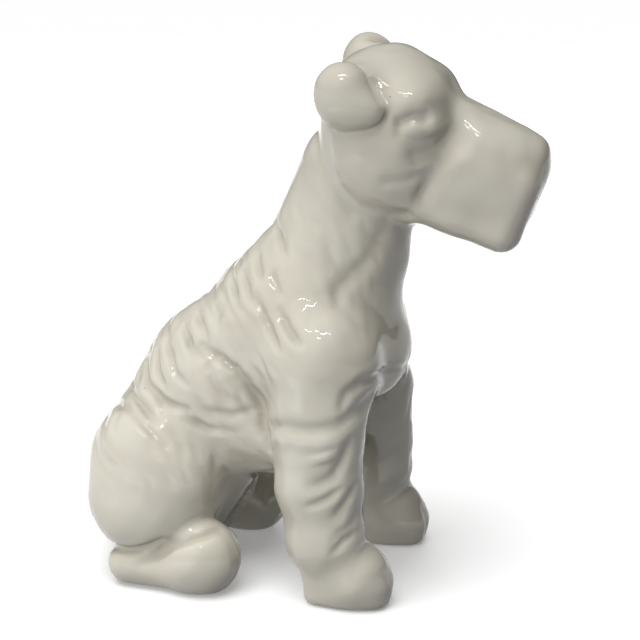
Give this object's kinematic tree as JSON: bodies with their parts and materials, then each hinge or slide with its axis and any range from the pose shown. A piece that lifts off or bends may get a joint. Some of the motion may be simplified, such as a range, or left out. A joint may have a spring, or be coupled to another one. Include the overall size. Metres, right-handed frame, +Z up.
{
  "type": "ceramic dog figurine",
  "caption": "Free-standing glazed ceramic figurine of a seated terrier, cast hollow in parts luted together, for display on a shelf or table.",
  "frame": {"origin": "centre of the figurine's bounding box on the plane its paws stand on", "axes": "+Z up, the dog faces -Y, and its left side is +X"},
  "size_m": [0.0886, 0.1761, 0.1996],
  "materials": {
    "glazed_ceramic": "glossy off-white glaze over cast earthenware"
  },
  "bodies": {
    "root": {"body_shell": "glazed_ceramic", "head_shell": "glazed_ceramic", "ear_left": "glazed_ceramic", "ear_right": "glazed_ceramic", "foreleg_left": "glazed_ceramic", "foreleg_right": "glazed_ceramic", "hind_leg_left": "glazed_ceramic", "hind_leg_right": "glazed_ceramic", "tail_stub": "glazed_ceramic"}
  },
  "joints": []
}
